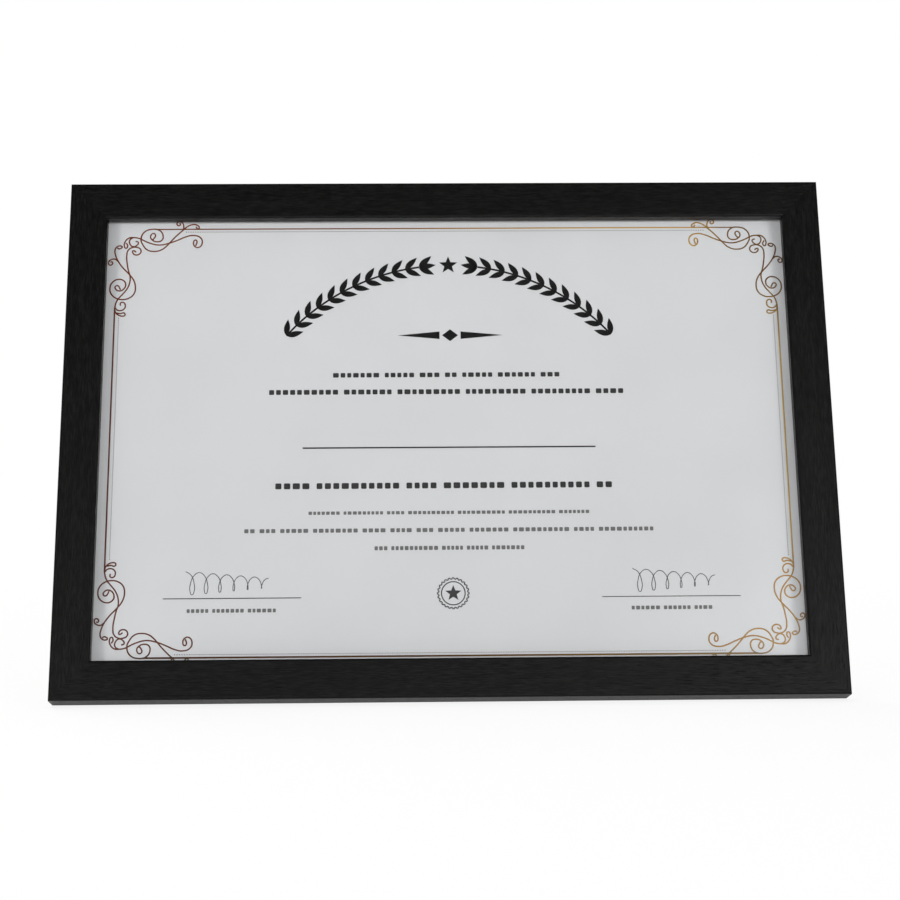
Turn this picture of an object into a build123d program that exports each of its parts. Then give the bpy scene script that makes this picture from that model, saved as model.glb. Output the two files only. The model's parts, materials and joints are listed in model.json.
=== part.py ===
from build123d import *
import math
import os

# Certificate frame standing on its easel leg and leaning back, in millimetres.
# Pieces are drawn upright: X across, Y from the front (minus) to the back (plus), with 0 on the
# rails' back plane, and Z up from the bottom edge. They are then leaned back about the bottom rear edge.

# Sheet, and the room round it in the rebate
sheet_width = 330.0
sheet_height = 220.0
sheet_thickness = 0.25
side_play = 1.0             # from the sheet, pane and boards to the rebate wall, each side
ink_gap = 0.15              # air between the pane and the sheet

# Rails
face_width = 18.0
lip_width = 4.0             # how far the lip reaches over the rebate
lip_thickness = 5.0         # front face to pane
arris_radius = 1.0          # rounding of the two front edges

# Pane and boards
pane_thickness = 2.0
filler_thickness = 2.5
panel_thickness = 3.0
panel_setback = 0.1         # panel's back below the rails' back plane

# Corner v-nails, two at each mitre
v_nail_wing = 4.5
v_nail_thickness = 0.6
v_nail_height = 7.0
v_nail_margin = 2.2         # from the outer wall, and from the rebate wall

# Turn buttons and their screws
button_length = 27.0
button_width = 10.0
button_thickness = 1.0
button_running_gap = 0.05   # under the button, and under the screw's head
button_tip_length = 5.0     # the finger tip that is bent up
button_tip_rise = 1.4
button_bend_length = 2.5
button_spacing = 200.0      # between the two buttons of a long rail
pivot_fit = 0.05            # radial, between the button and its screw
screw_radius = 1.5
screw_length = 8.0          # in the rail
screw_point_length = 2.5
screw_point_radius = 0.3
screw_head_radius = 3.0
screw_head_height = 1.7
screw_head_rounding = 0.9
recess_length = 3.4
recess_width = 0.7
recess_depth = 1.0
driven_fit = 0.02           # radial, between a screw, nail, rivet or fixed pin and its hole

# Sawtooth hanger and its nails
hanger_length = 46.0
hanger_height = 9.0
hanger_thickness = 0.8
hanger_rise = 2.4           # room for a nail head behind the teeth
hanger_tab = 8.0
hanger_ramp = 3.0
tooth_pitch = 2.8
tooth_depth = 1.8
hanger_nail_radius = 0.7
hanger_nail_length = 7.0
hanger_nail_head_radius = 2.0
hanger_nail_head_height = 0.8
hanger_nail_head_rounding = 0.5

# Easel leg and its hinge
lean_angle = 16.0           # frame, back from upright
open_angle = 32.0           # leg, away from the back panel
hinge_drop = 85.0           # top edge down to the hinge pin
leg_thickness = 3.0
leg_top_width = 64.0
leg_foot_width = 46.0
leg_corner_radius = 8.0
leg_clearance = 0.9         # folded leg to back panel
leaf_width = 44.0
leaf_height = 21.0
leaf_thickness = 1.0
leaf_corner_radius = 5.0
centre_knuckle = 19.0
knuckle_side_gap = 0.2
knuckle_wall = 1.1
knuckle_clearance = 0.6     # from a knuckle to the other leaf's edge, and to the leg
pin_running_fit = 0.05      # radial, in the lower leaf
pin_overhang = 0.8          # past the knuckles at each end
stop_width = 12.0
stop_length = 9.0           # above the pin
stop_gap = 0.05             # stop lug to upper leaf when the leg is open
rivet_radius = 1.5
rivet_edge = 8.0            # rivet centre to the leaf's side and to its far edge
rivet_head_radius = 3.0
rivet_head_height = 1.2
rivet_head_rounding = 0.8

# Sizes worked out from those above
rebate_width = sheet_width + 2 * side_play
rebate_height = sheet_height + 2 * side_play
wall_width = face_width - lip_width
outer_width = rebate_width + 2 * wall_width
outer_height = rebate_height + 2 * wall_width
depth = (lip_thickness + pane_thickness + ink_gap + sheet_thickness + filler_thickness
         + panel_thickness + panel_setback)
pane_front = lip_thickness - depth
sheet_front = pane_front + pane_thickness + ink_gap
filler_front = sheet_front + sheet_thickness
panel_front = filler_front + filler_thickness
panel_back = panel_front + panel_thickness
screw_line = wall_width / 2
button_seat = button_running_gap + button_thickness
screw_seat = button_seat + button_running_gap
hanger_z = outer_height - wall_width / 2
hanger_nail_x = (hanger_length - hanger_tab) / 2
knuckle_radius = (leg_clearance + leg_thickness + leaf_thickness) / 2
pin_radius = knuckle_radius - knuckle_wall - pin_running_fit
pin_y = panel_back + knuckle_radius
pin_z = outer_height - hinge_drop
leg_inner = panel_back + leg_clearance
leg_outer = leg_inner + leg_thickness
end_knuckle = (leaf_width - centre_knuckle) / 2 - knuckle_side_gap
rivet_x = leaf_width / 2 - rivet_edge
rivet_rise = leaf_height - rivet_edge
lean = math.radians(lean_angle)
leg_slope = math.radians(open_angle - lean_angle)
pin_height = pin_z * math.cos(lean) - pin_y * math.sin(lean)
leg_length = (pin_height + leg_thickness) / math.cos(leg_slope)

# Each side of the frame as a turn from the bottom side
sides = {"bottom": 0, "left": 90, "top": 180, "right": -90}
button_places = {
    "turn_button_top_left": ("top", button_spacing / 2),
    "turn_button_top_right": ("top", -button_spacing / 2),
    "turn_button_bottom_left": ("bottom", -button_spacing / 2),
    "turn_button_bottom_right": ("bottom", button_spacing / 2),
    "turn_button_left": ("left", 0),
    "turn_button_right": ("right", 0),
}


def on_side(side):
    """Place of a side of the frame, for a piece drawn on the bottom side about x = 0."""
    half = (outer_height if side in ("bottom", "top") else outer_width) / 2
    return Pos(0, 0, outer_height / 2) * Rot(0, sides[side], 0) * Pos(0, 0, -half)


def slab(sketch, y_low, y_high):
    """Plate between two depths, from a sketch whose x and y are the frame's X and Z."""
    plane = Plane(origin=(0, y_high, 0), x_dir=(1, 0, 0), z_dir=(0, -1, 0))
    return extrude(plane * sketch, amount=y_high - y_low)


def rod(radius, x, z, y_low, y_high):
    """Round bar along Y between two depths."""
    return slab(Pos(x, z) * Circle(radius), y_low, y_high)


def headed_rod(radius, x, z, y_tail, y_seat, head_radius, head_height, head_rounding):
    """Shank along Y with a rounded head whose underside lies at y_seat."""
    head = rod(head_radius, x, z, y_seat, y_seat + head_height)
    head = fillet(head.edges().group_by(Axis.Y)[-1], head_rounding)
    return head + rod(radius, x, z, y_tail, y_seat)


def opened(shape):
    """Turns a piece of the folded leg about the hinge pin to the open angle."""
    return Pos(0, pin_y, pin_z) * Rot(open_angle, 0, 0) * Pos(0, -pin_y, -pin_z) * shape


def knuckle(x, length):
    """Rolled knuckle round the pin line, without its bore."""
    return Pos(x, pin_y, pin_z) * Rot(0, 90, 0) * Cylinder(knuckle_radius, length)


def pin_bore(radius):
    """Bar along the pin line, longer than the hinge."""
    return Pos(0, pin_y, pin_z) * Rot(0, 90, 0) * Cylinder(radius, 2 * leaf_width)


def v_nails():
    """Two v-nails straddling the mitre at each corner, flush with the rails' backs."""
    nails = []
    for side_x in (-1, 1):
        for side_z in (-1, 1):
            for inset in (v_nail_margin, wall_width - v_nail_margin - v_nail_wing):
                x = side_x * (outer_width / 2 - inset)
                z = outer_height / 2 + side_z * (outer_height / 2 - inset)
                along_x = Pos(x - side_x * v_nail_wing / 2, z - side_z * v_nail_thickness / 2)
                along_z = Pos(x - side_x * v_nail_thickness / 2, z - side_z * v_nail_wing / 2)
                outline = along_x * Rectangle(v_nail_wing, v_nail_thickness)
                outline += along_z * Rectangle(v_nail_thickness, v_nail_wing)
                nails.append(slab(outline, -v_nail_height, 0))
    return nails


def screw_places():
    """Each turn button's pivot on the rails' back plane, as x and z."""
    places = []
    for side, along in button_places.values():
        at = (on_side(side) * Pos(along, 0, screw_line)).position
        places.append((at.X, at.Z))
    return places


def rail(length):
    """Mitred rail on the bottom side, with its rebate cut."""
    section = Polygon(
        (0, 0), (-depth, 0), (-depth, face_width), (pane_front, face_width),
        (pane_front, wall_width), (0, wall_width), align=None)
    section = fillet(section.vertices().group_by(Axis.X)[0], arris_radius)
    bar = extrude(Plane.YZ * section, amount=length / 2, both=True)
    mitre = Polygon(
        (-length / 2, 0), (length / 2, 0),
        (length / 2 - face_width, face_width), (face_width - length / 2, face_width), align=None)
    return bar & slab(mitre, -depth, 0)


def rails(nails):
    """The four rails, bored for every screw and nail that is driven into them."""
    driven = list(nails)
    for x, z in screw_places():
        driven.append(rod(screw_radius + driven_fit, x, z, -screw_length, 0))
    for x in (-hanger_nail_x, hanger_nail_x):
        driven.append(rod(hanger_nail_radius + driven_fit, x, hanger_z, -hanger_nail_length, 0))
    pieces = {}
    for side in sides:
        length = outer_width if side in ("bottom", "top") else outer_height
        pieces[side + "_rail"] = on_side(side) * rail(length) - driven
    return pieces


def board(y_low, thickness):
    """Sheet, pane or board that stands on the bottom of the rebate."""
    outline = Pos(0, wall_width + sheet_height / 2) * Rectangle(sheet_width, sheet_height)
    return slab(outline, y_low, y_low + thickness)


def back_panel():
    """Back panel with the holes for the hinge's rivets."""
    panel = board(panel_front, panel_thickness)
    for x in (-rivet_x, rivet_x):
        panel -= rod(rivet_radius + driven_fit, x, pin_z + rivet_rise, panel_front, panel_back)
    return panel


def turn_button():
    """Stamped button about its pivot, reaching inwards from the bottom side, with a raised tip."""
    end = button_width / 2
    reach = button_length - end
    bend = reach - button_tip_length
    low = button_running_gap
    raised = low + button_tip_rise
    side_view = Polygon(
        (low, -end), (low, bend - button_bend_length), (raised, bend), (raised, reach),
        (raised + button_thickness, reach), (raised + button_thickness, bend),
        (low + button_thickness, bend - button_bend_length), (low + button_thickness, -end), align=None)
    strip = extrude(Plane.YZ * side_view, amount=button_width / 2, both=True)
    outline = Pos(0, (reach - end) / 2) * Rot(0, 0, 90) * SlotOverall(button_length, button_width)
    blank = strip & slab(outline, low, raised + button_thickness)
    return blank - rod(screw_radius + pivot_fit, 0, 0, low, button_seat)


def turn_button_screws():
    """Round-head screws with a crossed recess, one through each button."""
    screws = []
    top = screw_seat + screw_head_height
    for x, z in screw_places():
        screw = headed_rod(screw_radius, x, z, screw_point_length - screw_length, screw_seat,
                           screw_head_radius, screw_head_height, screw_head_rounding)
        point = Cone(screw_point_radius, screw_radius, screw_point_length)
        screw += Pos(x, screw_point_length / 2 - screw_length, z) * Rot(-90, 0, 0) * point
        cross = Rectangle(recess_length, recess_width) + Rectangle(recess_width, recess_length)
        screws.append(screw - slab(Pos(x, z) * cross, top - recess_depth, top))
    return screws


def sawtooth_hanger():
    """Bent strip with flat tabs, a raised middle and teeth along the middle's lower edge."""
    end = hanger_length / 2
    ramp_foot = end - hanger_tab
    ramp_top = ramp_foot - hanger_ramp
    left_half = [(-end, 0), (-ramp_foot, 0), (-ramp_top, hanger_rise)]
    inner = left_half + [(-x, y) for x, y in reversed(left_half)]
    outer = [(x, y + hanger_thickness) for x, y in reversed(inner)]
    strip = extrude(Polygon(*inner, *outer, align=None), amount=hanger_height / 2, both=True)
    hanger = Pos(0, 0, hanger_z) * strip
    low_edge = hanger_z - hanger_height / 2
    teeth = int(2 * ramp_top / tooth_pitch)
    for index in range(teeth):
        x = (index - (teeth - 1) / 2) * tooth_pitch
        notch = Polygon((-tooth_pitch / 2, 0), (tooth_pitch / 2, 0), (0, tooth_depth), align=None)
        hanger -= slab(Pos(x, low_edge) * notch, hanger_rise, hanger_rise + hanger_thickness)
    for x in (-hanger_nail_x, hanger_nail_x):
        hanger -= rod(hanger_nail_radius + driven_fit, x, hanger_z, 0, hanger_thickness)
    return hanger


def hanger_nails():
    """Headed nails through the hanger's tabs."""
    return [headed_rod(hanger_nail_radius, x, hanger_z, -hanger_nail_length, hanger_thickness,
                       hanger_nail_head_radius, hanger_nail_head_height, hanger_nail_head_rounding)
            for x in (-hanger_nail_x, hanger_nail_x)]


def leaf_plate(direction, y_low):
    """Hinge leaf from the pin line up (1) or down (-1), with its two far corners rounded."""
    outline = Pos(0, direction * leaf_height / 2) * Rectangle(leaf_width, leaf_height)
    corners = outline.vertices().group_by(Axis.Y)
    outline = fillet(corners[-1] if direction > 0 else corners[0], leaf_corner_radius)
    y_high = y_low + leaf_thickness
    plate = slab(Pos(0, pin_z) * outline, y_low, y_high)
    for x in (-rivet_x, rivet_x):
        plate -= rod(rivet_radius + driven_fit, x, pin_z + direction * rivet_rise, y_low, y_high)
    return plate


def knuckle_notch(x, length, y_low):
    """Room in one leaf for a knuckle of the other."""
    reach = 2 * (knuckle_radius + knuckle_clearance)
    outline = Pos(x, pin_z) * Rectangle(length + 2 * knuckle_side_gap, reach)
    return slab(outline, y_low, y_low + leaf_thickness)


def hinge_upper_leaf():
    """Leaf on the back panel, with the two end knuckles."""
    leaf = leaf_plate(1, panel_back) - knuckle_notch(0, centre_knuckle, panel_back)
    for x in end_knuckle_places():
        leaf += knuckle(x, end_knuckle)
    return leaf - pin_bore(pin_radius + driven_fit)


def end_knuckle_places():
    """Middle of each end knuckle along X."""
    middle = (leaf_width - end_knuckle) / 2
    return (-middle, middle)


def hinge_lower_leaf():
    """Leaf on the leg, with the middle knuckle and the lug that stops the leg at its open angle."""
    leaf = leaf_plate(-1, leg_outer)
    for x in end_knuckle_places():
        leaf -= knuckle_notch(x, end_knuckle, leg_outer)
    lug_low = panel_back + leaf_thickness + stop_gap
    lug_outline = Pos(0, pin_z + stop_length / 2) * Rectangle(stop_width, stop_length)
    lug = slab(lug_outline, lug_low, lug_low + leaf_thickness)
    return opened(leaf) + knuckle(0, centre_knuckle) + lug - pin_bore(pin_radius + pin_running_fit)


def hinge_pin():
    """Pin through the three knuckles."""
    return Pos(0, pin_y, pin_z) * Rot(0, 90, 0) * Cylinder(pin_radius, leaf_width + 2 * pin_overhang)


def hinge_rivets(direction, y_tail, y_seat):
    """Pair of rivets through one leaf, flush at the tail."""
    return [headed_rod(rivet_radius, x, pin_z + direction * rivet_rise, y_tail, y_seat,
                       rivet_head_radius, rivet_head_height, rivet_head_rounding)
            for x in (-rivet_x, rivet_x)]


def easel_leg():
    """Tapered leg board, open, with its foot still square and too long."""
    top = pin_z - knuckle_radius - knuckle_clearance
    foot = pin_z - leg_length
    outline = Polygon(
        (-leg_foot_width / 2, foot), (leg_foot_width / 2, foot),
        (leg_top_width / 2, top), (-leg_top_width / 2, top), align=None)
    outline = fillet(outline.vertices().group_by(Axis.Y)[-1], leg_corner_radius)
    leg = slab(outline, leg_inner, leg_outer)
    for x in (-rivet_x, rivet_x):
        leg -= rod(rivet_radius + driven_fit, x, pin_z - rivet_rise, leg_inner, leg_outer)
    return opened(leg)


def leaned(shape):
    """Leans an upright piece back about the bottom rear edge."""
    return Rot(-lean_angle, 0, 0) * shape


def above_floor(shape):
    """Trims a leaned piece flat on the floor."""
    room = 4 * outer_height
    return shape & Box(room, room, room, align=(Align.CENTER, Align.CENTER, Align.MIN))


# All pieces, upright, by node
nails = v_nails()
upright = rails(nails)
upright["corner_v_nails"] = Compound(nails)
upright["glass_pane"] = board(pane_front, pane_thickness)
upright["certificate_sheet"] = board(sheet_front, sheet_thickness)
upright["filler_card"] = board(filler_front, filler_thickness)
upright["back_panel"] = back_panel()
for name, (side, along) in button_places.items():
    upright[name] = on_side(side) * Pos(along, 0, screw_line) * turn_button()
upright["turn_button_screws"] = Compound(turn_button_screws())
upright["sawtooth_hanger"] = sawtooth_hanger()
upright["hanger_nails"] = Compound(hanger_nails())
upright["hinge_upper_leaf"] = hinge_upper_leaf()
upright["hinge_lower_leaf"] = hinge_lower_leaf()
upright["hinge_pin"] = hinge_pin()
upright["panel_rivets"] = Compound(hinge_rivets(1, panel_front, panel_back + leaf_thickness))
upright["leg_rivets"] = opened(Compound(hinge_rivets(-1, leg_inner, leg_outer + leaf_thickness)))
upright["easel_leg"] = easel_leg()

# Lean, trim the foot, and put the origin under the middle of the standing part
standing = {name: leaned(shape) for name, shape in upright.items()}
standing["easel_leg"] = above_floor(standing["easel_leg"])
boxes = [shape.bounding_box() for shape in standing.values()]
middle_y = (min(box.min.Y for box in boxes) + max(box.max.Y for box in boxes)) / 2
stand = Pos(0, -middle_y, 0)

os.makedirs("parts", exist_ok=True)
for name, shape in standing.items():
    export_step(stand * shape, f"parts/{name}.step")


def report_point(label, x, y, z):
    """Prints an upright point where it stands, in metres."""
    at = (stand * Rot(-lean_angle, 0, 0) * Pos(x, y, z)).position
    print(label, [round(value / 1000, 6) for value in at])


print("outer size", outer_width, outer_height, depth)
report_point("hinge pin", 0, pin_y, pin_z)
for name, (x, z) in zip(button_places, screw_places()):
    report_point(name, x, 0, z)
report_point("hanger tooth line", 0, hanger_rise, hanger_z - hanger_height / 2 + tooth_depth)
report_point("bottom edge middle", 0, -depth / 2, 0)
report_point("bottom rear edge", 0, 0, 0)
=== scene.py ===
import json
import math
import random

import bmesh
import bpy
from mathutils import Matrix, Quaternion, Vector


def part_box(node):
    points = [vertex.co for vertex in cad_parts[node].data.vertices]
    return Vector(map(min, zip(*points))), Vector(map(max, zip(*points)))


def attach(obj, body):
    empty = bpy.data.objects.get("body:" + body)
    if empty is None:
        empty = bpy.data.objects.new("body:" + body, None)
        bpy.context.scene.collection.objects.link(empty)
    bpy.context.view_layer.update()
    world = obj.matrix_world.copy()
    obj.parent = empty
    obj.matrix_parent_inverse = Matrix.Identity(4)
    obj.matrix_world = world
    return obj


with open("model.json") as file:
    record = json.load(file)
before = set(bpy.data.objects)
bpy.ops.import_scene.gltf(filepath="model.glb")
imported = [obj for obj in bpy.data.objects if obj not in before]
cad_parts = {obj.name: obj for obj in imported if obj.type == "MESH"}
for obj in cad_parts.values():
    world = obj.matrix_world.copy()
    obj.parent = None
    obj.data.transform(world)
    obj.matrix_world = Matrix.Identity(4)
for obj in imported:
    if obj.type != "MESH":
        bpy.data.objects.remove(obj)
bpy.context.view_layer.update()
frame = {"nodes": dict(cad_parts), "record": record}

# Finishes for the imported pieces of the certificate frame, the print on its sheet, and the studio.
# Sizes are in millimetres. Places on the print are u to the right and v down from the middle of the opening.

millimetre = 0.001

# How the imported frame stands
lean = math.radians(16)                 # back from upright
leg_open = math.radians(32)             # leg's board from the frame's back
rear_edge_y = -41.141                   # bottom rear edge, where the upright frame's depth and height start
outer_width = 360.0
outer_height = 250.0
wall_width = 14.0                       # rail outside the rebate
rebate_depth = 8.0                      # rebate floor to the rails' back
panel_width = 330.0
panel_height = 220.0
panel_centre = wall_width + panel_height / 2    # above the bottom edge
sheet_thickness = 0.25
sheet_drop = 1.0                        # sheet's middle below the opening's middle

across = Vector((1, 0, 0))
up_frame = Vector((0, math.sin(lean), math.cos(lean)))
to_front = Vector((0, -math.cos(lean), math.sin(lean)))
leg_face = Vector((0, math.cos(leg_open - lean), math.sin(leg_open - lean)))

# Border of the print
border_shift = (0.25, 0.38)             # border's middle from the opening's middle
border_half_width = 158.25
border_half_height = 104.5
ink_height = 0.04
ink_layer = 0.003                       # each stroke lies this much over the last one
line_steps = 8                          # straight steps between two points of a stroke
stroke_width = 0.66
side_line_width = 0.72
top_line_width = 0.6
bottom_line_width = 0.84
line_end_u = 18.5                       # corner to where the top and bottom lines join the scrolls
line_end_v = 40.0                       # corner to where the side lines join the scrolls
dot_half_width = 156.2
dot_half_height = 103.05
dot_radius = 0.26
dot_sides = 6
dot_pitch = 1.12
dot_start = 31.0                        # corner to the first dot of the top and bottom rows
dot_start_side = 44.0

# Scrollwork of the top left corner: points inwards from the border's corner, right and down
corner_scrolls = [
    [(37.5, -1.3), (38.7, -0.2), (39.2, -0.9), (37.7, -2.3), (36.3, -2.5), (33.5, -1.4), (31.3, 0.6),
     (28.5, 3.3), (25.7, 6.4), (24.1, 8.3), (21.3, 10.6), (17.9, 11.4), (14.6, 10.6), (12.4, 8.1),
     (11.4, 5.3), (12.9, 1.4), (16.8, -0.1), (20.2, 0.6), (21.9, 3.3), (21.3, 5.7), (19.1, 6.4),
     (16.7, 5.4), (15.9, 3.8), (17.1, 2.1), (18.2, 2.8), (17.8, 4.4), (16.9, 5.4)],
    [(31.6, 0.3), (31.7, -1.7), (31.0, -3.4), (29.6, -4.0), (28.4, -3.1), (29.1, -1.9), (30.1, -2.5),
     (29.7, -3.2)],
    [(37.7, 8.6), (38.2, 6.2), (37.4, 5.6), (36.6, 7.2), (37.7, 9.2), (39.6, 9.2), (40.8, 6.9),
     (39.9, 4.4), (36.8, 3.2), (32.9, 3.9), (29.1, 5.6), (24.6, 7.3), (20.2, 8.1), (15.7, 7.1),
     (12.4, 5.6), (10.7, 4.7), (7.9, 4.2), (5.7, 4.4), (3.8, 6.4), (3.5, 8.6), (4.3, 9.7), (5.1, 8.6),
     (4.3, 6.9)],
    [(7.7, 4.2), (6.1, 5.3), (6.0, 7.2), (7.7, 8.9), (9.6, 8.1), (10.1, 6.7), (8.8, 6.1)],
    [(9.3, 11.7), (7.7, 11.1), (7.7, 12.2), (9.3, 13.2), (11.3, 12.2), (11.3, 10.3), (9.3, 9.2),
     (7.1, 9.4), (5.4, 10.8), (4.8, 13.9), (5.2, 17.8), (6.0, 21.7), (6.8, 24.4), (6.6, 27.8),
     (5.4, 30.8), (3.5, 33.3), (1.8, 35.3), (0.7, 37.2), (0.0, 40.0)],
    [(0.2, 40.0), (1.0, 41.1), (2.9, 41.6), (4.6, 40.6), (5.0, 39.2), (4.1, 37.5), (2.7, 37.8),
     (2.7, 39.2)],
    [(0.0, 41.1), (0.7, 42.8), (3.5, 44.4), (5.0, 43.9), (4.6, 42.8), (2.9, 43.1), (1.0, 42.8)],
    [(0.2, 9.4), (0.9, 10.0), (1.8, 9.8), (2.5, 9.0), (1.8, 8.5), (0.7, 8.6), (-0.4, 9.4),
     (-0.9, 10.8), (-0.7, 12.6), (0.5, 15.8), (2.9, 19.4), (6.0, 22.8), (8.5, 26.1), (9.5, 30.0),
     (8.8, 33.3), (6.6, 35.3), (3.8, 36.0), (0.7, 35.4), (-1.8, 33.3), (-2.6, 30.3), (-1.5, 27.2),
     (1.3, 25.7), (3.8, 26.4), (4.8, 28.3), (3.8, 30.8), (1.8, 31.6), (0.1, 30.6), (-0.1, 29.4),
     (1.0, 28.9), (2.1, 30.3), (2.4, 31.1)],
    [(0.7, 16.4), (-0.7, 15.3), (-2.6, 15.6), (-3.7, 16.9), (-3.2, 18.3), (-1.9, 17.8), (-2.1, 16.7),
     (-2.9, 16.8)],
]

# Laurel arch, in two branches that meet under a star
arch_radius = 101.5
arch_middle = (1.0, 16.5)
arch_half_angle = math.radians(49.5)
arch_gap = math.radians(4.2)            # apex to the tip of each branch
leaf_length = 8.2
leaf_width = 2.9
leaf_spread = math.radians(34)
leaf_pairs = 12
leaf_root = 0.25                        # off the stem's middle
leaf_steps = 7                          # along one side
leaf_fullness = 0.8                     # under 1, the widest place lies nearer to the root
stem_width = 0.9
berry_radius = 0.6
berry_sides = 10
berry_reach = 1.4                       # off the stem
berry_advance = 0.4                     # along the stem, as a share of a leaf pair
star_waist = 0.42                       # a star's notches, as a share of its radius
arch_star_radius = 4.6

# Divider under the arch
divider_middle = (1.5, -49.3)
divider_half_length = 25.0
divider_gap = 5.0
divider_bar_height = 1.9
divider_diamond = (3.8, 3.0)

# Rows of plain blocks: left, right, top, bottom
dark_rows = [(-54, 53, -31.7, -27.2), (-84, 83, -23.5, -18.7), (-80.5, 76, 21.9, 27.6)]
grey_rows = [(-65, 65, 36.2, 39.3), (-94.5, 94.5, 44.2, 48.0), (-34.5, 34.5, 52.7, 56.5),
             (-120, -79.5, 81.6, 85.1), (83, 120, 81.6, 85.1)]
block_seed = 7
group_sizes = (2, 10)                   # fewest and most blocks to a group
# Shares of a row's height
block_height = 0.5
block_widths = (0.42, 0.62)             # narrowest and widest
block_gap = 0.2
group_gap = 0.4                         # added between groups
block_corner = 0.0625                   # cut off each corner

# Rules: left, right, v, width
rules = [(-68, 69, 6.3, 0.72), (-131, -68, 77.6, 0.43), (69.7, 133.3, 78.1, 0.37)]

# Pen loops over the two lower rules: left, right, middle v
pen_loops = [(-121, -83, 70.5), (84, 122, 70.5)]
pen_width = 0.34
pen_turns = 6
pen_points = 8                          # to a turn
pen_height = 5.6                        # half the first loop's height
pen_shrink = 0.6                        # share of that height lost at the last loop
pen_swing = 0.45                        # half a loop's width, as a share of its half height

# Seal
seal_middle = (1.5, 76.0)
seal_radius = 7.3
seal_scallops = 24
seal_scallop_depth = 0.7
seal_ring_radius = 5.4
seal_ring_points = 16
seal_line = 0.5
seal_star_radius = 3.9

# Greys of the printed inks as a screen shows them, 0 to 255
black_level = 6
rule_level = 46
dark_row_level = 50
seal_level = 58
pen_level = 70
dot_level = 78
grey_row_level = 108
toner_lift = 12                         # lighter where the toner is thin

# Camera and light
camera_place = Vector((-18.89, -932.34, 106.89)) * millimetre
camera_target = Vector((0.64, -21.87, 114.37)) * millimetre
camera_roll = math.radians(-0.363)
camera_lens = 78.57
plain_white = (1, 1, 1, 1)
floor_reach = 30.0                      # metres
floor_tone = 0.9
floor_glow = 0.8                        # share of plain white that the camera sees in the floor
floor_mirror_glow = 0.35                # and that shiny surfaces mirror
dome_level = 0.7                        # soft light from all round at the horizon
dome_top_level = 0.25                   # and from straight above
# What shiny surfaces mirror: white low down, a dark ceiling, dimmer far to the sides and two low cards
ceiling_level = 0.03
bright_side = (0.0, 0.3, -0.95)
bright_from, bright_to = -0.71, -0.3
far_side_from, far_side_to, far_side_loss = 0.5, 0.9, 0.7
card_core, card_edge = math.radians(4), math.radians(21)
# Cards: where each stands and its level
cards = [
    (Vector((0.42, -1.0, 0.26)).normalized(), 3.4),
    (Vector((-0.42, -1.0, 0.26)).normalized(), 1.6),
]
# Lamps: where each shines from, its strength and its spread
lamps = {
    "left_lamp": (Vector((-0.6, -0.75, 0.1)), 1.02, math.radians(18)),
    "right_lamp": (Vector((0.6, -0.75, 0.1)), 1.09, math.radians(18)),
    "top_lamp": (Vector((-0.2, 0.35, 0.92)), 0.8, math.radians(50)),
    "back_lamp": (Vector((-0.5, 0.75, 0.4)), 0.6, math.radians(40)),
}


def from_screen(red, green, blue):
    """A colour as seen on a screen, 0 to 255, as Blender's linear colour."""

    def linear(level):
        """The standard curve of a screen, undone."""
        share = level / 255
        return share / 12.92 if share <= 0.04045 else ((share + 0.055) / 1.055) ** 2.4

    return (linear(red), linear(green), linear(blue), 1)


# Colours of the rails' foil and of the fibreboard under it
foil_pore = from_screen(3, 3, 3)
foil_dark = from_screen(5, 5, 5)
foil_middle = from_screen(11, 11, 11)
foil_light = from_screen(24, 24, 23)
mitre_shade = from_screen(9, 9, 9)
board_dark = from_screen(110, 82, 55)
board_middle = from_screen(144, 112, 78)
board_light = from_screen(176, 145, 108)

# Colours of what lies in the rebate
glass_tint = (0.991, 0.992, 0.991, 1)
paper_dark = from_screen(219, 220, 222)
paper_light = from_screen(225, 226, 228)
card_dark = from_screen(150, 116, 78)
card_light = from_screen(186, 150, 108)
panel_dark = from_screen(102, 73, 48)
panel_middle = from_screen(131, 97, 65)
panel_light = from_screen(156, 120, 84)
panel_rim = from_screen(78, 54, 34)

# Colours of the leg and the fittings
leg_paper_dark = from_screen(24, 24, 26)
leg_paper_light = from_screen(52, 52, 54)
leg_edge_dark = from_screen(92, 68, 46)
leg_edge_light = from_screen(138, 106, 74)
zinc_dark = from_screen(172, 174, 177)
zinc_light = from_screen(198, 200, 202)

# Border ink from the left edge, 0, to the right edge, 1, in runs from the bottom line to the top line
foot_ink = [
    (0.05, from_screen(74, 36, 8)), (0.5, from_screen(88, 56, 14)), (0.95, from_screen(150, 118, 50)),
]
lower_ink = [
    (0.05, from_screen(96, 38, 5)), (0.5, from_screen(110, 62, 12)), (0.94, from_screen(181, 135, 44)),
    (0.96, from_screen(96, 64, 26)),
]
middle_ink = [
    (0.05, from_screen(96, 38, 5)), (0.5, from_screen(110, 62, 12)), (0.95, from_screen(207, 172, 86)),
]
upper_ink = [
    (0.05, from_screen(112, 47, 5)), (0.4, from_screen(128, 72, 15)), (0.7, from_screen(202, 158, 40)),
    (0.81, from_screen(206, 162, 64)), (0.875, from_screen(124, 87, 32)), (0.94, from_screen(106, 71, 24)),
]
# Heights over which the ink changes to each next run
ink_changes = [((20.5, 24), lower_ink), ((58, 80), middle_ink), ((162, 208), upper_ink)]
ink_unevenness = 0.06                   # of the runs, along the frame


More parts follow.
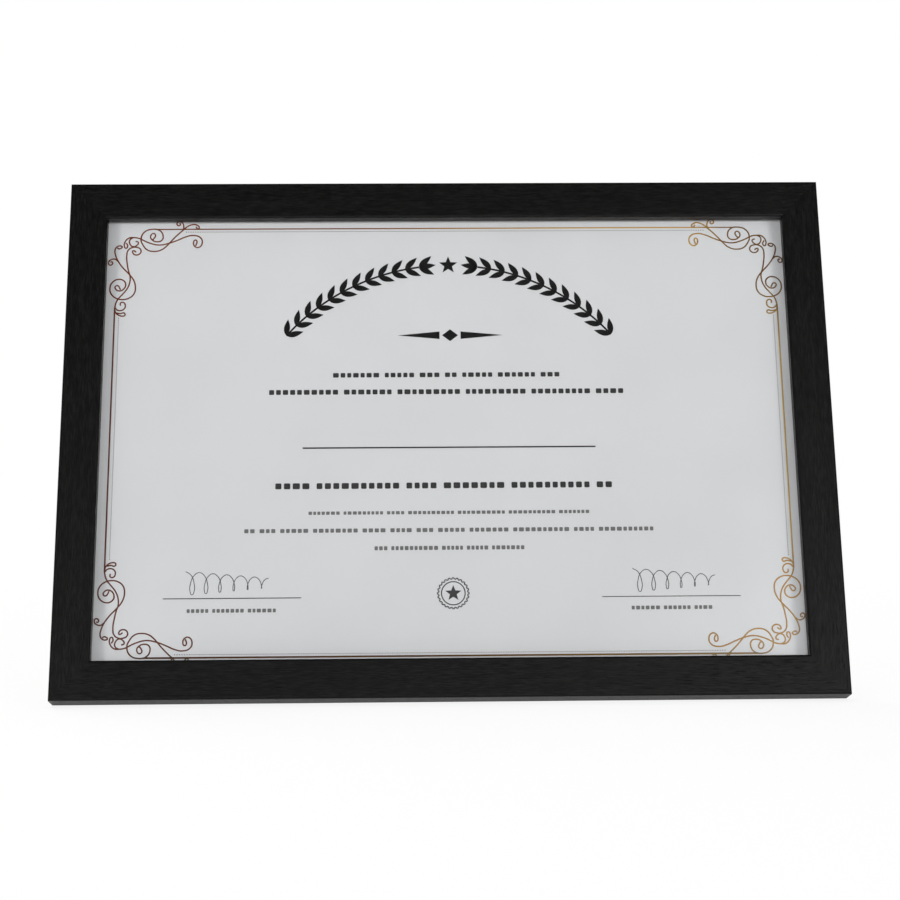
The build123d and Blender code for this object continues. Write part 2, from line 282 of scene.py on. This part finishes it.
class Shade:
    """An output socket of a node tree. Maths on it adds Math nodes, and node() adds any other node."""

    def __init__(self, tree, socket=None):
        self.tree = tree
        self.socket = socket

    def node(self, kind, settings=(), sockets=(), output=None):
        """Adds a node: its settings first, then the values or links of its sockets."""
        added = self.tree.nodes.new(kind)
        for name, value in dict(settings).items():
            if name == "stops":
                ramp = added.color_ramp.elements
                while len(ramp) < len(value):
                    ramp.new(1)
                for stop, (place, colour) in zip(ramp, value):
                    stop.position = place
                    stop.color = colour
            else:
                setattr(added, name, value)
        for name, value in dict(sockets).items():
            if isinstance(name, int):
                socket = added.inputs[name]
            else:
                socket = next(one for one in added.inputs if one.name == name and one.enabled)
            if isinstance(value, Shade):
                self.tree.links.new(value.socket, socket)
            else:
                socket.default_value = value
        if not added.outputs:
            return None
        shown = next(one for one in added.outputs if one.enabled and output in (None, one.name))
        return Shade(self.tree, shown)

    def maths(self, operation, *values):
        return self.node("ShaderNodeMath", {"operation": operation}, enumerate(values))

    def __add__(self, other):
        return self.maths("ADD", self, other)

    def __sub__(self, other):
        return self.maths("SUBTRACT", self, other)

    def __rsub__(self, other):
        return self.maths("SUBTRACT", other, self)

    def __mul__(self, other):
        return self.maths("MULTIPLY", self, other)

    __radd__ = __add__
    __rmul__ = __mul__

    def __abs__(self):
        return self.maths("ABSOLUTE", self)

    def least(self, other):
        return self.maths("MINIMUM", self, other)

    def most(self, other):
        return self.maths("MAXIMUM", self, other)

    def sine(self):
        return self.maths("SINE", self)

    def with_share(self, other, share):
        """This mask with a share of another in it."""
        return self * (1 - share) + other * share

    def rising(self, low, high):
        """0 below low, 1 above high, smooth between; falling where low is above high."""
        return self.node("ShaderNodeMapRange", {"interpolation_type": "SMOOTHSTEP"},
                         {"Value": self, "From Min": low, "From Max": high})

    def ramp(self, stops):
        """Colours along this mask, each as its place and the colour."""
        return self.node("ShaderNodeValToRGB", {"stops": stops}, {"Fac": self}, "Color")

    def blended(self, first, second):
        """One colour to another by this mask."""
        return self.node("ShaderNodeMix", {"data_type": "RGBA"},
                         {"Factor": self, "A": first, "B": second})

    def part(self, axis):
        return self.node("ShaderNodeSeparateXYZ", (), {"Vector": self}, axis)

    def stretched(self, x, y, z):
        return self.node("ShaderNodeVectorMath", {"operation": "MULTIPLY"}, {0: self, 1: (x, y, z)})

    def toward(self, direction):
        """How far this vector points in a direction: 1 along it, -1 away from it."""
        return self.node("ShaderNodeVectorMath", {"operation": "DOT_PRODUCT"},
                         {0: self, 1: direction}, "Value")

    def noise(self, scale, detail=2.0, roughness=0.5, distortion=0.0):
        """Noise from 0 to 1 over this place, with scale patches to the millimetre."""
        return self.node("ShaderNodeTexNoise", {"normalize": True},
                         {"Vector": self, "Scale": scale, "Detail": detail, "Roughness": roughness,
                          "Distortion": distortion}, "Fac")

    def bump(self, height, strength):
        """A surface's normal from this mask, whose full swing is height millimetres."""
        return self.node("ShaderNodeBump", (), {
            "Strength": strength, "Distance": height * millimetre, "Height": self})


def new_finish(name):
    """An empty material, and the start of its tree."""
    material = bpy.data.materials.new(name)
    material.use_nodes = True
    material.node_tree.nodes.clear()
    return material, Shade(material.node_tree)


def upright_place(start):
    """The upright frame's own millimetres on a surface: X across, Y from front to back, Z up."""
    return start.node("ShaderNodeMapping", {"vector_type": "POINT"}, {
        "Vector": start.node("ShaderNodeTexCoord", output="Object"),
        "Scale": (1 / millimetre,) * 3,
        "Rotation": (lean, 0, 0),
        "Location": (0, -rear_edge_y * math.cos(lean), -rear_edge_y * math.sin(lean))})


def show(start, surface):
    """Makes a surface the material's look."""
    start.node("ShaderNodeOutputMaterial", (), {"Surface": surface})


def coated(start, sockets):
    """Makes a Principled surface the material's look."""
    show(start, start.node("ShaderNodeBsdfPrincipled", (), sockets))


def rail_finish(name, lies_across):
    """Black wood-grain foil along a rail, and bare fibreboard where the foil ends at the back."""
    grain_draw, figure_draw = 0.06, 0.03            # fineness along the rail, as a share of that across
    figure_share = 0.15                             # of the broad figure in the foil's tone
    tone_span, pore_span = (0.35, 0.65), (0.6, 0.7)
    lap, lap_wander, lap_blur = 2.2, 1.2, 0.12      # foil turned onto the back, from the outer edge
    back_span = (-0.06, -0.03)                      # depths where the back begins
    rebate_span = (-rebate_depth - 0.05, -rebate_depth + 0.05)
    wall_span = (wall_width - 0.3, wall_width - 0.1)
    patch_share = 0.3                               # of broad patches in the fibreboard's chips
    mitre_span, mitre_depth = (0.16, 0.04), 0.6
    least_rough, grain_rough, pore_rough, board_rough = 0.24, 0.16, 0.2, 0.4
    grain_relief, pore_relief, board_relief = 0.7, -0.6, 0.8

    material, start = new_finish(name)
    place = upright_place(start)
    x, depth, height = (place.part(axis) for axis in "XYZ")

    def along_grain(share):
        """The place drawn out along the rail."""
        return place.stretched(share, 1, 1) if lies_across else place.stretched(1, 1, share)

    fine = along_grain(grain_draw).noise(scale=3.1, detail=3.0, roughness=0.6)
    figure = along_grain(figure_draw).noise(scale=0.6, distortion=0.4)
    pores = along_grain(grain_draw).noise(scale=2.9, detail=1.0).rising(*pore_span)
    tone = fine.with_share(figure, figure_share).rising(*tone_span)
    foil = tone.ramp([(0, foil_dark), (0.5, foil_middle), (1, foil_light)])
    foil = pores.blended(foil, foil_pore)

    side = outer_width / 2 - abs(x)
    end = outer_height / 2 - abs(height - outer_height / 2)
    from_edge = side.least(end)
    foil_end = lap + place.noise(scale=0.12) * lap_wander
    bare_back = depth.rising(*back_span) * (from_edge - foil_end).rising(0, lap_blur)
    in_rebate = depth.rising(*rebate_span) * from_edge.rising(*wall_span)
    bare = bare_back.most(in_rebate)
    chips = place.noise(scale=1.1, detail=5.0, roughness=0.7)
    chips = chips.with_share(place.noise(scale=0.07), patch_share)
    board = chips.ramp([(0.36, board_dark), (0.5, board_middle), (0.64, board_light)])
    mitre = abs(side - end).rising(*mitre_span)

    colour = (mitre * mitre_depth).blended(bare.blended(foil, board), mitre_shade)
    roughness = least_rough + fine * grain_rough + pores * pore_rough + bare * board_rough
    relief = fine * grain_relief + pores * pore_relief + bare * chips * board_relief
    coated(start, {"Base Color": colour, "Roughness": roughness, "Specular IOR Level": 0.17,
                   "Normal": relief.bump(height=0.15, strength=0.6)})
    return material


def pane_finish():
    """Clear pane: what is behind shows through, with the gloss of both its faces on the outer one."""
    smudge_span = (0.35, 0.75)
    least_rough, smudge_rough = 0.03, 0.05

    material, start = new_finish("clear_glass")
    gloss = start.node("ShaderNodeFresnel", (), {"IOR": 1.7})
    outer = 1 - start.node("ShaderNodeNewGeometry", output="Backfacing")
    clear = start.node("ShaderNodeBsdfTransparent", (), {"Color": glass_tint})
    smudge = upright_place(start).noise(scale=0.03, detail=3.0).rising(*smudge_span)
    shine = start.node("ShaderNodeBsdfAnisotropic", (), {"Roughness": least_rough + smudge * smudge_rough})
    show(start, start.node("ShaderNodeMixShader", (), {0: gloss * outer, 1: clear, 2: shine}))
    return material


def paper_finish():
    """Smooth white paper with a fine fibre."""
    fibre_draw = 2.2                                # fineness up the sheet, as a share of that across
    cloud_share, tone_span = 0.4, (0.3, 0.7)
    least_rough, fibre_rough = 0.62, 0.2

    material, start = new_finish("white_paper")
    place = upright_place(start)
    fibre = place.stretched(1, 1, fibre_draw).noise(scale=2.6, detail=4.0, roughness=0.7)
    tone = fibre.with_share(place.noise(scale=0.02), cloud_share).rising(*tone_span)
    coated(start, {"Base Color": tone.blended(paper_dark, paper_light),
                   "Roughness": least_rough + fibre * fibre_rough, "Specular IOR Level": 0.3,
                   "Normal": fibre.bump(height=0.02, strength=0.3)})
    return material


def card_finish():
    """Brown corrugated card with its flutes showing through the liner."""
    flute_share, tone_span = 0.3, (0.25, 0.75)
    least_rough, fibre_rough = 0.75, 0.15
    fibre_relief = 0.4                              # share beside the flutes

    material, start = new_finish("fluted_card")
    place = upright_place(start)
    flute = start.node("ShaderNodeTexWave", {"wave_type": "BANDS", "bands_direction": "X"},
                       {"Vector": place, "Scale": 0.45, "Distortion": 0.3}, "Fac")
    fibre = place.noise(scale=1.4, detail=4.0, roughness=0.65)
    tone = fibre.with_share(flute, flute_share).rising(*tone_span)
    relief = flute.with_share(fibre, fibre_relief)
    coated(start, {"Base Color": tone.blended(card_dark, card_light),
                   "Roughness": least_rough + fibre * fibre_rough,
                   "Normal": relief.bump(height=0.2, strength=0.4)})
    return material


def panel_finish():
    """Smooth brown hardboard with pressed fibres and a darker cut edge."""
    fleck_draw, strand_draw = (1, 1, 0.45), (0.35, 1, 1.3)      # fineness along each axis
    fleck_share, strand_share, cloud_share = 0.5, 0.4, 0.1
    tone_span = (0.32, 0.68)
    rim_span, rim_depth = (1.4, 0.1), 0.55          # in from the cut edge
    least_rough, strand_rough = 0.5, 0.22
    fleck_relief = 0.5                              # share beside the strands

    material, start = new_finish("brown_hardboard")
    place = upright_place(start)
    x, height = place.part("X"), place.part("Z")
    flecks = place.stretched(*fleck_draw).noise(scale=0.9, detail=5.0, roughness=0.7, distortion=0.6)
    strands = place.stretched(*strand_draw).noise(scale=2.8, detail=3.0, roughness=0.6)
    cloud = place.noise(scale=0.018, detail=3.0)
    tone = (flecks * fleck_share + strands * strand_share + cloud * cloud_share).rising(*tone_span)
    board = tone.ramp([(0, panel_dark), (0.5, panel_middle), (1, panel_light)])
    from_edge = (panel_width / 2 - abs(x)).least(panel_height / 2 - abs(height - panel_centre))
    rim = from_edge.rising(*rim_span)
    relief = strands.with_share(flecks, fleck_relief)
    coated(start, {"Base Color": (rim * rim_depth).blended(board, panel_rim),
                   "Roughness": least_rough + strands * strand_rough, "Specular IOR Level": 0.4,
                   "Normal": relief.bump(height=0.09, strength=0.5)})
    return material


def leg_finish():
    """Black embossed paper on the leg board's faces, and bare brown board round its cut edge."""
    weave_turn = 3.1                                # radians to the millimetre
    mottle_share, tone_span = 0.5, (0.2, 0.8)
    edge_span = (0.6, 0.4)                          # how squarely the face looks out
    fibre_span = (0.3, 0.7)
    least_rough, mottle_rough, edge_rough = 0.5, 0.2, 0.15

    material, start = new_finish("black_leg_paper")
    place = upright_place(start)
    warp, weft = ((place.part(axis) * weave_turn).sine() for axis in "XZ")
    weave = warp * weft * 0.5 + 0.5
    mottle = place.noise(scale=0.7, detail=4.0, roughness=0.6)
    tone = weave.with_share(mottle, mottle_share).rising(*tone_span)
    paper = tone.blended(leg_paper_dark, leg_paper_light)
    outward = start.node("ShaderNodeTexCoord", output="Normal")
    cut_edge = abs(outward.toward(leg_face)).rising(*edge_span)
    fibre = place.noise(scale=2.2, detail=4.0, roughness=0.65)
    board = fibre.rising(*fibre_span).blended(leg_edge_dark, leg_edge_light)
    relief = weave * (1 - cut_edge) + fibre * cut_edge
    coated(start, {"Base Color": cut_edge.blended(paper, board),
                   "Roughness": least_rough + mottle * mottle_rough + cut_edge * edge_rough,
                   "Specular IOR Level": 0.35, "Normal": relief.bump(height=0.25, strength=0.6)})
    return material


def steel_finish():
    """Zinc-plated steel with faint rolling marks and a slightly clouded plating."""
    rolled_draw = 0.1                               # fineness across the frame, as a share of that up it
    rolled_share, tone_span = 0.4, (0.3, 0.72)
    least_rough, cloud_rough = 0.3, 0.1

    material, start = new_finish("zinc_plate")
    place = upright_place(start)
    cloud = place.noise(scale=0.3, detail=3.0, roughness=0.55)
    rolled = place.stretched(rolled_draw, 1, 1).noise(scale=3.2)
    tone = cloud.with_share(rolled, rolled_share).rising(*tone_span)
    coated(start, {"Base Color": tone.blended(zinc_dark, zinc_light), "Metallic": 1.0,
                   "Roughness": least_rough + cloud * cloud_rough,
                   "Normal": rolled.bump(height=0.02, strength=0.25)})
    return material


def gold_ink():
    """Border ink that runs from copper at the left to gold, and to brown again at the top right."""
    least_rough, grain_rough = 0.4, 0.15

    material, start = new_finish("border_ink")
    place = upright_place(start)
    grain = place.noise(scale=0.9)
    # 0 at the frame's left edge and 1 at its right edge
    run = place.part("X") * (1 / outer_width) + 0.5 + (grain - 0.5) * ink_unevenness
    colour = run.ramp(foot_ink)
    for heights, next_ink in ink_changes:
        colour = place.part("Z").rising(*heights).blended(colour, run.ramp(next_ink))
    coated(start, {"Base Color": colour, "Roughness": least_rough + grain * grain_rough,
                   "Specular IOR Level": 0.4})
    return material


def plain_ink(name, level):
    """Printed ink of one grey, a little uneven as toner is."""
    toner_span = (0.3, 0.75)
    least_rough, toner_rough = 0.5, 0.2

    material, start = new_finish(name)
    toner = upright_place(start).noise(scale=4.0, detail=3.0, roughness=0.6)
    dense, thin = (from_screen(grey, grey, grey) for grey in (level, level + toner_lift))
    coated(start, {"Base Color": toner.rising(*toner_span).blended(dense, thin),
                   "Roughness": least_rough + toner * toner_rough, "Specular IOR Level": 0.3})
    return material


# The print is drawn flat in millimetres and then laid on the sheet's front
sheet_low, sheet_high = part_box("certificate_sheet")
opening_middle = (sheet_low + sheet_high) / 2
opening_middle += (to_front * sheet_thickness / 2 + up_frame * sheet_drop) * millimetre
sheet_turn = Matrix((across, up_frame, to_front)).transposed().to_4x4()
onto_sheet = Matrix.Translation(opening_middle) @ sheet_turn @ Matrix.Scale(millimetre, 4)


def lay_on_sheet(name, mesh, material):
    """Turns a flat print into a piece on the sheet."""
    mesh.transform(onto_sheet)
    mesh.materials.clear()
    mesh.materials.append(material)
    piece = bpy.data.objects.new(name, mesh)
    bpy.context.scene.collection.objects.link(piece)
    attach(piece, "frame")


def stamped(name, outlines, material):
    """Thin plates of ink from closed outlines."""
    work = bmesh.new()
    for outline in outlines:
        low = [work.verts.new((u, -v, 0)) for u, v in outline]
        high = [work.verts.new((u, -v, ink_height)) for u, v in outline]
        work.faces.new(low)
        work.faces.new(high)
        for index, corner in enumerate(low):
            work.faces.new((corner, low[index - 1], high[index - 1], high[index]))
    bmesh.ops.recalc_face_normals(work, faces=work.faces)
    mesh = bpy.data.meshes.new(name)
    work.to_mesh(mesh)
    work.free()
    lay_on_sheet(name, mesh, material)


def drawn(name, strokes, width, material, closed=False):
    """Flat strokes of ink along smooth lines through the given points."""
    nib = bpy.data.curves.new(name + "_nib", "CURVE")
    nib_line = nib.splines.new("POLY")
    corners = [(-width / 2, 0), (width / 2, 0), (width / 2, ink_height), (-width / 2, ink_height)]
    nib_line.points.add(len(corners) - 1)
    for point, (u, rise) in zip(nib_line.points, corners):
        point.co = (u, rise, 0, 1)
    nib_line.use_cyclic_u = True
    nib_holder = bpy.data.objects.new(name + "_nib", nib)

    lines = bpy.data.curves.new(name, "CURVE")
    lines.dimensions = "3D"
    lines.twist_mode = "Z_UP"
    lines.bevel_mode = "OBJECT"
    lines.bevel_object = nib_holder
    lines.use_fill_caps = True
    lines.resolution_u = line_steps
    # Each stroke of a corner has a height of its own, so that none are level where they cross
    for layer, stroke in enumerate(strokes):
        spline = lines.splines.new("BEZIER")
        spline.bezier_points.add(len(stroke) - 1)
        for point, (u, v) in zip(spline.bezier_points, stroke):
            point.co = (u, -v, layer % len(corner_scrolls) * ink_layer)
            point.handle_left_type = "AUTO"
            point.handle_right_type = "AUTO"
        spline.use_cyclic_u = closed
    holder = bpy.data.objects.new(name, lines)
    bpy.context.scene.collection.objects.link(holder)
    bpy.context.view_layer.update()
    mesh = bpy.data.meshes.new_from_object(holder.evaluated_get(bpy.context.evaluated_depsgraph_get()))
    bpy.data.objects.remove(holder)
    bpy.data.objects.remove(nib_holder)
    mesh.name = name
    lay_on_sheet(name, mesh, material)


def polygon(middle, radius, count, turn=0.0):
    """Points round a circle, the first one straight up before the turn."""
    angles = [turn + index * math.tau / count for index in range(count)]
    return [(middle[0] + radius * math.sin(a), middle[1] - radius * math.cos(a)) for a in angles]


def star(middle, radius, notch_radius, tips=5):
    """Outline of a star, one tip straight up."""
    points = polygon(middle, radius, tips)
    notches = polygon(middle, notch_radius, tips, math.pi / tips)
    return [point for pair in zip(points, notches) for point in pair]


def border_corner(side_u, side_v, half_width=border_half_width, half_height=border_half_height):
    """A corner of the border, or of another rectangle about its middle."""
    return (border_shift[0] + side_u * half_width, border_shift[1] + side_v * half_height)


def print_scrolls(ink):
    """Scrollwork in the four corners of the border."""
    strokes = []
    for side_u in (-1, 1):
        for side_v in (-1, 1):
            corner_u, corner_v = border_corner(side_u, side_v)
            for scroll in corner_scrolls:
                strokes.append([(corner_u - side_u * u, corner_v - side_v * v) for u, v in scroll])
    drawn("border_scrollwork", strokes, stroke_width, ink)


def print_border_lines(ink):
    """Straight lines between the corners of the border."""
    left, top = border_corner(-1, -1)
    right, bottom = border_corner(1, 1)
    for name, v, width in (("border_top_line", top, top_line_width),
                           ("border_bottom_line", bottom, bottom_line_width)):
        drawn(name, [[(left + line_end_u, v), (right - line_end_u, v)]], width, ink)
    side_lines = [[(u, top + line_end_v), (u, bottom - line_end_v)] for u in (left, right)]
    drawn("border_side_lines", side_lines, side_line_width, ink)


def dot_row(first, last):
    """Places of the dots along a dotted line."""
    return [first + index * dot_pitch for index in range(int((last - first) / dot_pitch) + 1)]


def print_dots():
    """Dotted lines inside the border's lines."""
    left, top = border_corner(-1, -1, dot_half_width, dot_half_height)
    right, bottom = border_corner(1, 1, dot_half_width, dot_half_height)
    dots = [(u, v) for u in dot_row(left + dot_start, right - dot_start) for v in (top, bottom)]
    dots += [(u, v) for v in dot_row(top + dot_start_side, bottom - dot_start_side) for u in (left, right)]
    stamped("border_dots", [polygon(dot, dot_radius, dot_sides) for dot in dots],
            plain_ink("dot_ink", dot_level))


def leaf(root, direction):
    """Pointed leaf from its root, as an outline; direction is clockwise from up."""
    rim = []
    for index in range(leaf_steps + 1):
        share = index / leaf_steps
        rim.append((share * leaf_length, leaf_width / 2 * math.sin(math.pi * share ** leaf_fullness)))
    far_side = [(reach, -half) for reach, half in rim[-2:0:-1]]
    forward = (math.sin(direction), -math.cos(direction))
    sideways = (math.cos(direction), math.sin(direction))
    return [(root[0] + reach * forward[0] + half * sideways[0],
             root[1] + reach * forward[1] + half * sideways[1]) for reach, half in rim + far_side]


def on_arch(angle, radius=arch_radius):
    """A point of the arch, its angle clockwise from the top."""
    return (arch_middle[0] + radius * math.sin(angle), arch_middle[1] - radius * math.cos(angle))


def print_arch(ink):
    """Two laurel branches that rise to a star at the top of the arch."""
    plates = [star(on_arch(0), arch_star_radius, arch_star_radius * star_waist)]
    stems = []
    pair_angle = (arch_half_angle - arch_gap) / leaf_pairs
    for side in (-1, 1):
        angles = [side * (arch_half_angle - index * pair_angle) for index in range(leaf_pairs)]
        stems.append([on_arch(angle) for angle in angles])
        for angle in angles:
            heading = angle - side * math.pi / 2
            for turn in (-1, 1):
                root = on_arch(angle, arch_radius + turn * side * leaf_root)
                plates.append(leaf(root, heading + turn * leaf_spread))
                berry_angle = angle - side * berry_advance * pair_angle
                berry = on_arch(berry_angle, arch_radius + turn * berry_reach)
                plates.append(polygon(berry, berry_radius, berry_sides))
        plates.append(leaf(on_arch(angles[-1]), angles[-1] - side * math.pi / 2))
    stamped("laurel_leaves", plates, ink)
    drawn("laurel_stems", stems, stem_width, ink)


def print_divider(ink):
    """Diamond between two tapered bars."""
    u, v = divider_middle
    wide, high = divider_diamond
    marks = [[(u - wide, v), (u, v - high), (u + wide, v), (u, v + high)]]
    for side in (-1, 1):
        near, far = u + side * divider_gap, u + side * divider_half_length
        marks.append([(near, v - divider_bar_height), (far, v), (near, v + divider_bar_height)])
    stamped("divider", marks, ink)


def rectangle(left, right, top, bottom, cut=0.0):
    """Outline of a rectangle, with its corners cut off where cut is given."""
    if not cut:
        return [(left, top), (right, top), (right, bottom), (left, bottom)]
    return [(left + cut, top), (right - cut, top), (right, top + cut), (right, bottom - cut),
            (right - cut, bottom), (left + cut, bottom), (left, bottom - cut), (left, top + cut)]


def block_row(left, right, top, bottom, chance):
    """Plain blocks in groups of uneven length, filling a row from end to end."""
    height = bottom - top
    middle = (top + bottom) / 2
    half = block_height * height / 2
    blocks = []
    u = 0.0
    while u < right - left:
        for _ in range(chance.randint(*group_sizes)):
            width = height * chance.uniform(*block_widths)
            blocks.append((u, u + width))
            u += width + block_gap * height
        u += group_gap * height
    fit = (right - left) / blocks[-1][1]
    return [rectangle(left + start * fit, left + end * fit, middle - half, middle + half,
                      block_corner * height) for start, end in blocks]


def print_rows():
    """Rows of plain blocks, dark and grey."""
    chance = random.Random(block_seed)
    for name, rows, level in (("dark_rows", dark_rows, dark_row_level),
                              ("grey_rows", grey_rows, grey_row_level)):
        outlines = [outline for row in rows for outline in block_row(*row, chance)]
        stamped(name, outlines, plain_ink(name + "_ink", level))


def print_rules():
    """Thin rules to write on."""
    lines = [rectangle(left, right, v - width / 2, v + width / 2) for left, right, v, width in rules]
    stamped("ruled_lines", lines, plain_ink("rule_ink", rule_level))


def print_pen_loops():
    """Pen loops that get smaller from left to right."""
    count = pen_turns * pen_points
    loops = []
    for left, right, middle in pen_loops:
        loop = []
        for index in range(count + 1):
            angle = math.tau * index / pen_points
            share = index / count
            tall = pen_height * (1 - pen_shrink * share)
            u = left + (right - left) * share + pen_swing * tall * math.sin(angle)
            loop.append((u, middle - tall * math.cos(angle)))
        loops.append(loop)
    drawn("pen_loops", loops, pen_width, plain_ink("pen_ink", pen_level))


def print_seal():
    """Small scalloped seal with a star."""
    ink = plain_ink("seal_ink", seal_level)
    edge = star(seal_middle, seal_radius, seal_radius - seal_scallop_depth, seal_scallops)
    ring = polygon(seal_middle, seal_ring_radius, seal_ring_points)
    drawn("seal_rings", [edge, ring], seal_line, ink, closed=True)
    stamped("seal_star", [star(seal_middle, seal_star_radius, seal_star_radius * star_waist)], ink)


def dress_frame():
    """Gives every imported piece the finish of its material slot."""
    finishes = {
        "clear_pane": pane_finish(),
        "printed_paper": paper_finish(),
        "corrugated_card": card_finish(),
        "back_board": panel_finish(),
        "leg_board": leg_finish(),
        "plated_steel": steel_finish(),
    }
    rails_across = rail_finish("black_rail_across", True)
    rails_upright = rail_finish("black_rail_upright", False)
    for part in frame["record"]["subparts"]:
        name, slot = part["node"], part["material_slot"]
        if slot == "black_rail":
            material = rails_across if name in ("top_rail", "bottom_rail") else rails_upright
        else:
            material = finishes[slot]
        piece = frame["nodes"][name]
        piece.data.materials.clear()
        piece.data.materials.append(material)


def print_sheet():
    """All print on the certificate sheet."""
    border_ink = gold_ink()
    print_scrolls(border_ink)
    print_border_lines(border_ink)
    print_dots()
    black_ink = plain_ink("black_ink", black_level)
    print_arch(black_ink)
    print_divider(black_ink)
    print_rows()
    print_rules()
    print_pen_loops()
    print_seal()


def ray_masks(start):
    """Masks for rays that look straight on or through the pane, and for rays that shiny surfaces mirror."""
    straight, through, mirrored = (start.node("ShaderNodeLightPath", output=f"Is {kind} Ray")
                                   for kind in ("Camera", "Transmission", "Glossy"))
    return straight.most(through), mirrored


def lay_floor():
    """Floor that looks plain white where no shadow falls."""
    mesh = bpy.data.meshes.new("floor")
    corners = [(x * floor_reach, y * floor_reach, 0) for x, y in ((-1, -1), (1, -1), (1, 1), (-1, 1))]
    mesh.from_pydata(corners, [], [(0, 1, 2, 3)])
    floor = bpy.data.objects.new("floor", mesh)
    bpy.context.scene.collection.objects.link(floor)

    # How bright the open floor would be without its glow: the dome's mean on it, and each lamp
    lit_floor = (dome_level + 2 * dome_top_level) / 3
    for toward_lamp, strength, _ in lamps.values():
        lit_floor += strength * toward_lamp.normalized().z / math.pi
    open_floor = (1 - (1 - floor_glow) * floor_tone * lit_floor) / floor_glow

    material, start = new_finish("white_floor")
    looked_at, mirrored = ray_masks(start)
    glowing = looked_at * floor_glow + mirrored * floor_mirror_glow
    matt = start.node("ShaderNodeBsdfDiffuse", (), {"Color": (floor_tone, floor_tone, floor_tone, 1)})
    glow = start.node("ShaderNodeEmission", (), {"Color": plain_white, "Strength": open_floor})
    show(start, start.node("ShaderNodeMixShader", (), {0: glowing, 1: matt, 2: glow}))
    mesh.materials.append(material)


def hang_surround():
    """World: plain white to look at, a soft dome of light, and what shiny surfaces mirror."""
    world = bpy.data.worlds.new("studio")
    world.use_nodes = True
    world.node_tree.nodes.clear()
    bpy.context.scene.world = world
    sky = Shade(world.node_tree)
    looked_at, mirrored = ray_masks(sky)
    facing = sky.node("ShaderNodeTexCoord", output="Generated")
    low_down = facing.toward(bright_side).rising(bright_from, bright_to)
    far_side = abs(facing.part("X")).rising(far_side_from, far_side_to)
    in_mirror = (ceiling_level + low_down * (1 - ceiling_level)) * (1 - far_side * far_side_loss)
    for side, level in cards:
        in_mirror = in_mirror + facing.toward(side).rising(math.cos(card_edge), math.cos(card_core)) * level
    dome = dome_level + facing.part("Z").most(0) * (dome_top_level - dome_level)
    glow = looked_at + mirrored * in_mirror + (1 - looked_at.most(mirrored)) * dome
    background = sky.node("ShaderNodeBackground", (), {"Color": plain_white, "Strength": glow})
    sky.node("ShaderNodeOutputWorld", (), {"Surface": background})


def set_lamps():
    """Soft lamps that shiny surfaces don't mirror."""
    for name, (toward_lamp, strength, spread) in lamps.items():
        light = bpy.data.lights.new(name, "SUN")
        light.energy = strength
        light.angle = spread
        lamp = bpy.data.objects.new(name, light)
        lamp.visible_glossy = False
        lamp.location = toward_lamp
        lamp.rotation_euler = (-toward_lamp).to_track_quat("-Z", "Y").to_euler()
        bpy.context.scene.collection.objects.link(lamp)


def set_camera():
    """Camera at the photograph's viewing angle."""
    camera_data = bpy.data.cameras.new("camera")
    camera_data.lens = camera_lens
    camera = bpy.data.objects.new("camera", camera_data)
    camera.location = camera_place
    aim = (camera_target - camera_place).to_track_quat("-Z", "Y")
    camera.rotation_mode = "QUATERNION"
    camera.rotation_quaternion = aim @ Quaternion((0, 0, 1), camera_roll)
    bpy.context.scene.collection.objects.link(camera)
    bpy.context.scene.camera = camera
    bpy.context.scene.view_settings.view_transform = "Standard"


dress_frame()
print_sheet()
lay_floor()
hang_surround()
set_lamps()
set_camera()
